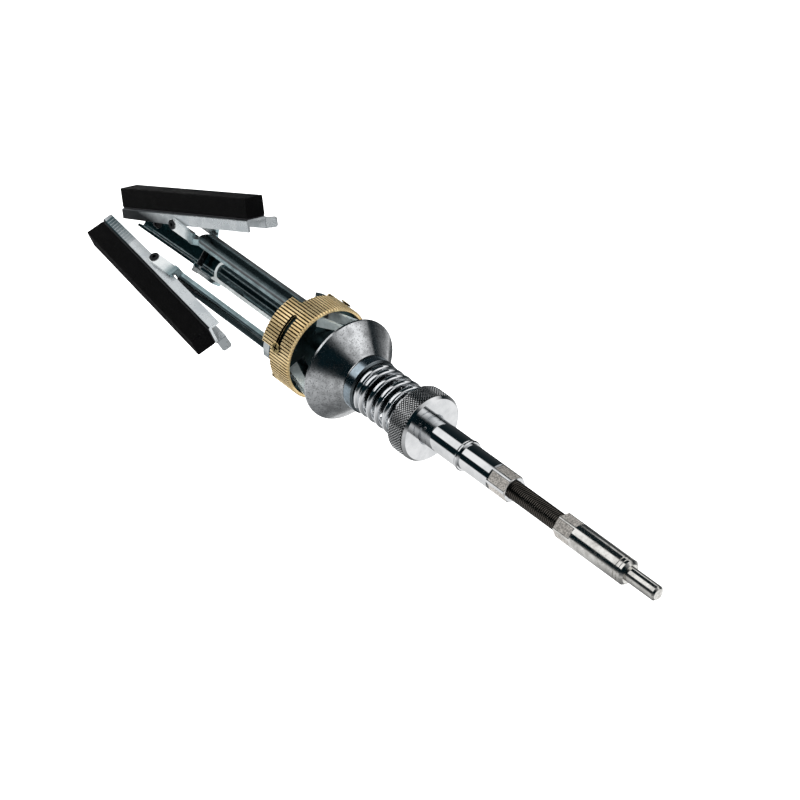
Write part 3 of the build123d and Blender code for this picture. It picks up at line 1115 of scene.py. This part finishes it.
@dataclass
class Spring:
    """The compression spring, with a closed coil where it stands on the cone."""

    nut_face: float = -128.7 * MM
    cone_face: float = -155.5 * MM
    mean_radius: float = 10.775 * MM
    wire: float = 1.425 * MM
    turns: float = 5.0
    closed_pitch: float = 2.95 * MM
    seat: float = 0.02 * MM
    steps: int = 64
    wire_sides: int = 20

    def build(self) -> list[bpy.types.Object]:
        """Makes the coil and lets it ride with the cone.

        Returns:
            The coil alone.
        """
        rise = self.nut_face - self.cone_face - 2 * (self.wire + self.seat)
        sizes = {
            "Mean radius": self.mean_radius,
            "Wire": self.wire,
            "Turns": self.turns,
            "Rise": rise,
            "Closed pitch": self.closed_pitch,
            "Low": self.cone_face + self.wire + self.seat,
        }
        tree = ShapeTree("pressure_spring_coil", sizes)
        spiral = tree.spiral(self.steps, tree.size("Turns"), tree.size("Mean radius"), tree.size("Rise"))
        along = Value(tree, tree.node("GeometryNodeSplineParameter").outputs["Factor"])
        turn = along * tree.size("Turns")
        open_pitch = (tree.size("Rise") - tree.size("Closed pitch")) / (tree.size("Turns") - 1.0)
        level = turn.at_most(1.0) * tree.size("Closed pitch") + (turn - 1.0).at_least(0.0) * open_pitch
        place = Value(tree, tree.node("GeometryNodeInputPosition").outputs[0])
        parts = tree.node("ShaderNodeSeparateXYZ", None, {0: place})
        target = tree.vector(Value(tree, parts.outputs[0]), Value(tree, parts.outputs[1]), level + tree.size("Low"))
        wire = tree.tube(tree.placed(spiral, target), tree.size("Wire"), self.wire_sides)
        piece = tree.finished(tree.painted(wire, SPRING_STEEL))
        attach(piece, "carriage")
        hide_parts("pressure_spring")
        return [piece]


def lofted(name: str, loops: list[Loop], closed: bool = False) -> bpy.types.Mesh:
    """A solid through several loops of corners.

    Args:
        name: The mesh's name.
        loops: The loops in order, each with the same number of corners.
        closed: Whether the last loop goes back to the first. If not, both ends are capped.

    Returns:
        The mesh, with its faces outwards.
    """
    shape = bmesh.new()
    rings = [[shape.verts.new(corner) for corner in loop] for loop in loops]
    for first, second in zip(rings, rings[1:] + rings[:1] if closed else rings[1:]):
        for k in range(len(first)):
            after = (k + 1) % len(first)
            shape.faces.new((first[k], first[after], second[after], second[k]))
    if not closed:
        shape.faces.new(rings[0])
        shape.faces.new(rings[-1])
    bmesh.ops.recalc_face_normals(shape, faces=shape.faces)
    mesh = bpy.data.meshes.new(name)
    shape.to_mesh(mesh)
    shape.free()
    return mesh


def circle(radius: float, level: float, segments: int) -> Loop:
    """One level circle about the tool's axis.

    Args:
        radius: Its radius.
        level: Its level along the axis.
        segments: How many corners it has.

    Returns:
        Its corners, in order.
    """
    turns = (math.tau * k / segments for k in range(segments))
    return [(radius * math.cos(turn), radius * math.sin(turn), level) for turn in turns]


@dataclass
class TensionNut:
    """The tension nut, with a diamond knurl between its polished chamfers."""

    top: float = -117.5 * MM
    bottom: float = -128.4 * MM
    radius: float = 15.6 * MM
    bore: float = 6.65 * MM
    bore_chamfer: float = 0.6 * MM
    top_chamfer: float = 1.3 * MM
    bottom_chamfer: float = 0.75 * MM
    knurl_depth: float = 0.38 * MM
    diamonds: int = 72
    rows: int = 12
    flat_share: float = 0.35
    lip: float = 0.25 * MM
    stud_overlap: float = 1.02
    segments: int = 144

    def blank(self) -> bpy.types.Mesh:
        """The turned nut before it is knurled.

        Returns:
            Its closed mesh.
        """
        root = self.radius - self.knurl_depth
        profile = [
            (self.bore + self.bore_chamfer, self.top),
            (self.radius - self.top_chamfer, self.top),
            (self.radius - self.lip, self.top - self.top_chamfer + self.lip),
            (root, self.top - self.top_chamfer),
            (root, self.bottom + self.bottom_chamfer),
            (self.radius - self.bottom_chamfer, self.bottom),
            (self.bore, self.bottom),
            (self.bore, self.top - self.bore_chamfer),
        ]
        return lofted("tension_nut_blank", [circle(r, level, self.segments) for r, level in profile], closed=True)

    def build(self) -> list[bpy.types.Object]:
        """Knurls the blank and lets the nut turn with its body.

        Returns:
            The nut alone.
        """
        low = self.bottom + self.bottom_chamfer
        high = self.top - self.top_chamfer
        sizes = {
            "Diamonds": self.diamonds,
            "Rows": self.rows,
            "Root radius": self.radius - self.knurl_depth,
            "Depth": self.knurl_depth,
            "Low": low,
            "Band": high - low,
            "Flat share": self.flat_share,
        }
        tree = ShapeTree("knurled_tension_nut", sizes, self.blank())
        grid = tree.node(
            "GeometryNodeMeshGrid",
            None,
            {"Size X": 1.0, "Size Y": 1.0, "Vertices X": tree.size("Diamonds"), "Vertices Y": tree.size("Rows")},
        )
        row = tree.math("FLOORED_MODULO", tree.index(), tree.size("Rows"))
        column = tree.math("FLOOR", (tree.index() + 0.5) / tree.size("Rows"))
        stagger = tree.math("FLOORED_MODULO", row, 2.0) / 2
        turn = (column + stagger) * math.tau / tree.size("Diamonds")
        pitch = tree.size("Band") / (tree.size("Rows") + 1.0)
        level = tree.size("Low") + (row + 1.0) * pitch
        radius = tree.size("Root radius")
        place = tree.vector(radius * turn.cosine(), radius * turn.sine(), level)
        points = tree.placed(Value(tree, grid.outputs[0]), place)
        diamond = tree.node(
            "GeometryNodeMeshCone",
            None,
            {
                "Vertices": 4,
                "Radius Top": pitch * tree.size("Flat share"),
                "Radius Bottom": pitch * self.stud_overlap,
                "Depth": tree.size("Depth"),
            },
        )
        studs = tree.copies(points, Value(tree, diamond.outputs[0]), turn)
        nut = tree.joined(tree.size("Blank"), studs)
        piece = tree.finished(tree.painted(nut, NUT_STEEL), smooth=False)
        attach(piece, "nut")
        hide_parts("tension_nut")
        return [piece]


@dataclass
class GuideScrews:
    """The three screws in the ring's slots, with a cross recess in each low head."""

    level: float = -196.5 * MM
    first_azimuth: float = 79.0
    count: int = 3
    foot: float = 17.4 * MM
    shank_radius: float = 1.55 * MM
    head_radius: float = 2.4 * MM
    head_foot: float = 22.2 * MM
    head_top: float = 22.9 * MM
    head_round: float = 0.2 * MM
    cross_half_width: float = 0.4 * MM
    cross_reach: float = 1.6 * MM
    cross_depth: float = 0.5 * MM

    def cross(self, level: float) -> Loop:
        """The cross's outline.

        Args:
            level: Its level along the screw.

        Returns:
            As many corners as each of the screw's circles has, in the same order.
        """
        near, far = self.cross_half_width, self.cross_reach
        quarter = [(far, -near / 2), (far, near / 2), (far, near), ((far + near) / 2, near), (near, near)]
        quarter += [(near, (far + near) / 2), (near, far), (near / 2, far)]
        turns = ((1, 0), (0, 1), (-1, 0), (0, -1))
        return [(x * east - y * north, x * north + y * east, level) for east, north in turns for x, y in quarter]

    def blank(self) -> bpy.types.Mesh:
        """One screw that points along Z.

        Returns:
            Its mesh, from the foot to the cross's floor.
        """
        segments = len(self.cross(0.0))
        return lofted(
            "guide_screw_blank",
            [
                circle(self.shank_radius, self.foot, segments),
                circle(self.shank_radius, self.head_foot, segments),
                circle(self.head_radius, self.head_foot, segments),
                circle(self.head_radius, self.head_top - self.head_round, segments),
                circle(self.head_radius - self.head_round, self.head_top, segments),
                self.cross(self.head_top),
                self.cross(self.head_top - self.cross_depth),
            ],
        )

    def build(self) -> list[bpy.types.Object]:
        """Sets the screws round the hub and lets them ride with the head.

        Returns:
            The one piece that holds all the screws.
        """
        sizes = {"Count": self.count, "Level": self.level, "First azimuth": math.radians(self.first_azimuth)}
        tree = ShapeTree("cross_head_guide_screws", sizes, self.blank())
        line = tree.node("GeometryNodeMeshLine", None, {"Count": tree.size("Count")})
        turn = tree.size("First azimuth") + tree.index() * math.tau / tree.size("Count")
        points = tree.placed(Value(tree, line.outputs[0]), tree.vector(0.0, 0.0, tree.size("Level")))
        screws = tree.copies(points, tree.size("Blank"), turn)
        piece = tree.finished(tree.painted(screws, SCREW_BRASS), smooth=False)
        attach(piece, "head")
        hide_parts("guide_screws")
        return [piece]


@dataclass
class CarriedNodes:
    """The CAD nodes whose shape is right, each with its own finish."""

    finishes: tuple[tuple[str, Finish], ...] = (
        ("chuck_shank", SHANK_ZINC),
        ("drive_spindle", POLISHED),
        ("spindle_ring", POLISHED),
        ("pressure_cone", SATIN_ZINC),
        ("range_ring", BRASS),
        ("arm_hub", HUB_STEEL),
        ("hub_washer", DARK_STEEL),
        ("hub_nut", DARK_STEEL),
    )

    def build(self, nodes: dict[str, bpy.types.Object]) -> list[bpy.types.Object]:
        """Dresses every carried-over node.

        Args:
            nodes: The frame's nodes, by name.

        Returns:
            The nodes that it dressed.
        """
        dressed = dict(self.finishes)
        for arm in Arm:
            # Arm B takes the shaded copy of the arm steel, and holder B the marked one.
            holder, sheet = (MARKED_ZINC, ARM_STEEL_SHADED_COPY) if arm is Arm.B else (HOLDER_ZINC, ARM_STEEL)
            for stem, finish in (
                ("pivot_pin", DARK_STEEL),
                ("arm", sheet),
                ("holder_pin", RIVET_STEEL),
                ("stone_holder", holder),
                ("stone_backing", GAP_SHADE_BACKING),
                ("stone", STONE),
            ):
                dressed[f"{stem}_{arm.letter}"] = finish
        for name, finish in dressed.items():
            finish.dress(nodes[name])
        return [nodes[name] for name in dressed]


@dataclass(frozen=True)
class Softbox:
    """One soft square light: its name, place, side and power."""

    name: str
    place: tuple[float, float, float]
    side: float
    power: float


@dataclass
class Studio:
    """The floor, the lights, the reflecting tent and the camera of the photograph.

    Each wall of the tent is its brightness by the turn round the tool, from 0 to 1. Each border is how much of a wall
    shows, by the height from the tent's middle as a share of its radius: downwards for the deep and the neck wall, and
    plus one for the high wall, which starts higher at the front by the front's rise.
    """

    middle: tuple[float, float, float] = (0.0, 0.0, -0.16)
    floor_level: float = -0.62
    floor_half: float = 6.0
    floor_tone: Colour = (0.97, 0.97, 0.97)
    floor_roughness: float = 0.8
    tent_radius: float = 0.5
    tent_segments: int = 64
    camera_place: tuple[float, float, float] = (0.24615, -0.68242, 0.43830)
    camera_right: tuple[float, float, float] = (-0.72416, 0.27364, 0.63302)
    camera_down: tuple[float, float, float] = (0.63564, 0.62090, 0.45875)
    nearest_seen: float = 0.01
    focal_pixels: float = 2213.6
    image_pixels: float = 800.0
    sensor: float = 36.0
    softboxes: tuple[Softbox, ...] = (
        Softbox("key_softbox", (-0.5, -1.1, 1.2), 0.9, 34.0),
        Softbox("side_softbox", (1.3, -0.2, 0.6), 1.0, 20.0),
        Softbox("back_softbox", (0.2, 1.0, 1.3), 1.2, 20.0),
    )
    deep_wall: Stops = (
        (0.000, 0.03), (0.140, 0.03), (0.170, 0.60), (0.215, 0.60), (0.235, 1.00), (0.290, 1.00),
        (0.305, 0.00), (0.420, 0.00), (0.440, 0.35), (0.470, 0.05), (0.500, 0.45), (0.560, 0.60),
        (0.590, 0.03), (0.640, 0.80), (0.665, 0.80), (0.685, 0.03),
    )
    low_wall: Stops = (
        (0.000, 0.022), (0.080, 0.008), (0.180, 0.002), (0.198, 1.00), (0.330, 1.00), (0.344, 0.00),
        (0.452, 0.00), (0.470, 0.90), (0.790, 0.70), (0.822, 0.10), (0.870, 0.05), (1.000, 0.022),
    )
    neck_wall: Stops = (
        (0.000, 0.03), (0.144, 0.00), (0.188, 0.36), (0.228, 0.90), (0.285, 1.00), (0.325, 0.50),
        (0.352, 0.00), (0.425, 0.00), (0.455, 0.12), (0.500, 0.26), (0.570, 0.26), (0.677, 0.14),
        (0.766, 0.26), (0.840, 0.45), (0.925, 0.22), (0.966, 0.03),
    )
    high_wall: Stops = (
        (0.000, 0.14), (0.026, 0.62), (0.050, 0.92), (0.086, 1.00), (0.117, 0.88), (0.186, 0.50),
        (0.222, 0.08), (0.255, 0.00), (0.400, 0.00), (0.430, 0.06), (0.465, 0.52), (0.500, 0.66),
        (0.560, 0.50), (0.607, 0.35), (0.653, 0.25), (0.700, 0.18), (0.735, 0.28), (0.765, 0.95),
        (0.845, 0.95), (0.880, 0.55), (0.899, 0.28), (0.938, 0.11), (0.965, 0.03), (0.985, 0.01),
    )
    deep_border: Stops = ((0.68, 0.0), (0.70, 1.0))
    neck_border: Stops = ((0.600, 0.0), (0.608, 1.0), (0.640, 1.0), (0.650, 0.0))
    high_border: Stops = ((0.66, 0.0), (0.72, 1.0))
    front_rise: float = 0.5
    front_turns: tuple[float, float] = (0.06, 0.36)
    curtain: Stops = ((0.16, 0.0), (0.20, 0.95), (0.34, 0.95), (0.40, 0.0))
    open_roof: Stops = ((0.82, 1.0), (0.86, 0.25))
    dark: Colour = (0.003, 0.009, 0.012)
    deep_dark: Colour = (0.006, 0.026, 0.032)

    def build(self) -> None:
        """Makes the whole studio."""
        self.add_floor()
        self.add_tent()
        self.add_camera()
        for softbox in self.softboxes:
            self.add_light(softbox)
        world = bpy.data.worlds.new("studio_air")
        world.use_nodes = True
        background = world.node_tree.nodes["Background"]
        background.inputs["Color"].default_value = (*WHITE, 1.0)
        background.inputs["Strength"].default_value = 1.0
        bpy.context.scene.world = world
        bpy.context.scene.view_settings.view_transform = "Standard"

    def add_floor(self) -> None:
        """A wide pale floor, well under the tool, which hangs by its shank."""
        half = self.floor_half
        outline = [(x, y, self.floor_level) for x, y in ((-half, -half), (half, -half), (half, half), (-half, half))]
        mesh = bpy.data.meshes.new("studio_floor")
        mesh.from_pydata(outline, [], [(0, 1, 2, 3)])
        material = bpy.data.materials.new("pale_floor")
        SurfaceGraph(material).set(Base_Color=self.floor_tone, Roughness=self.floor_roughness)
        mesh.materials.append(material)
        linked("studio_floor", mesh)

    def add_tent(self) -> None:
        """A light tent with dark strips, which only the metal's reflections see."""
        shape = bmesh.new()
        around, up = self.tent_segments, self.tent_segments // 2
        bmesh.ops.create_uvsphere(shape, u_segments=around, v_segments=up, radius=self.tent_radius)
        bmesh.ops.translate(shape, verts=shape.verts, vec=self.middle)
        mesh = bpy.data.meshes.new("light_tent")
        shape.to_mesh(mesh)
        shape.free()
        material = bpy.data.materials.new("tent_wall")
        graph = SurfaceGraph(material)
        lamp = graph.node("ShaderNodeEmission", None, {"Color": self.tent_colour(graph), "Strength": 1.0})
        graph.feed(graph.tree.nodes["Material Output"].inputs["Surface"], lamp.outputs[0])
        material.cycles.emission_sampling = "NONE"
        mesh.materials.append(material)
        tent = linked("light_tent", mesh)
        tent.visible_camera = False
        tent.visible_diffuse = False
        tent.visible_shadow = False
        tent.visible_transmission = False

    def tent_colour(self, graph: SurfaceGraph) -> Value:
        """The tent's light, by the turn round the tool and the height.

        Args:
            graph: The graph of the tent's material.

        Returns:
            The colour, from the strips' dark tone to white.
        """
        across, depth, level = graph.axes()
        turn = graph.math("ARCTAN2", depth, across) / math.tau + 0.5
        height = (level - self.middle[2]) / self.tent_radius
        front = (turn > self.front_turns[0]) * (turn < self.front_turns[1])
        high = graph.ramp(height + 1.0 - self.front_rise * front, *self.high_border)
        neck = graph.ramp(-height, *self.neck_border)
        deep = graph.ramp(-height, *self.deep_border)
        wall = graph.ramp(turn, *self.low_wall)
        for share, stops in ((high, self.high_wall), (neck, self.neck_wall), (deep, self.deep_wall)):
            wall = wall + share * (graph.ramp(turn, *stops) - wall)
        curtain = front * graph.ramp(height, *self.curtain)
        glow = wall * graph.ramp(height, *self.open_roof) * (1.0 - curtain)
        shade = graph.mix_colours(deep, self.dark, self.deep_dark)
        return graph.mix_colours(glow, shade, WHITE)

    def add_camera(self) -> None:
        """The camera at the photograph's place, angle and field of view."""
        right = Vector(self.camera_right).normalized()
        up = -Vector(self.camera_down)
        up = (up - right * up.dot(right)).normalized()
        data = bpy.data.cameras.new("photo_camera")
        data.sensor_width = self.sensor
        data.lens = self.focal_pixels / self.image_pixels * self.sensor
        data.clip_start = self.nearest_seen
        camera = linked("photo_camera", data)
        turn = Matrix((right, up, right.cross(up))).transposed()
        camera.matrix_world = Matrix.Translation(self.camera_place) @ turn.to_4x4()
        bpy.context.scene.camera = camera

    def add_light(self, softbox: Softbox) -> None:
        """Makes a soft light that faces the middle of the tool and isn't reflected in the metal.

        Args:
            softbox: The light's name, place, side and power.
        """
        data = bpy.data.lights.new(softbox.name, "AREA")
        data.shape = "SQUARE"
        data.size = softbox.side
        data.energy = softbox.power
        lamp = linked(softbox.name, data)
        aim = Vector(self.middle) - Vector(softbox.place)
        turn = aim.to_track_quat("-Z", "Y").to_matrix().to_4x4()
        lamp.matrix_world = Matrix.Translation(softbox.place) @ turn
        lamp.visible_glossy = False


def main() -> None:
    """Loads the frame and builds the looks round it."""
    logging.basicConfig(level=logging.INFO, format="%(message)s")
    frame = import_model()
    pieces = CarriedNodes().build(frame["nodes"])
    for part in (Flexible(), TensionNut(), Spring(), GuideScrews()):
        pieces += part.build()
    for piece in pieces:
        LOG.info("%s: %d faces", piece.name, len(piece.data.polygons))
    Studio().build()


if __name__ == "__main__":
    main()
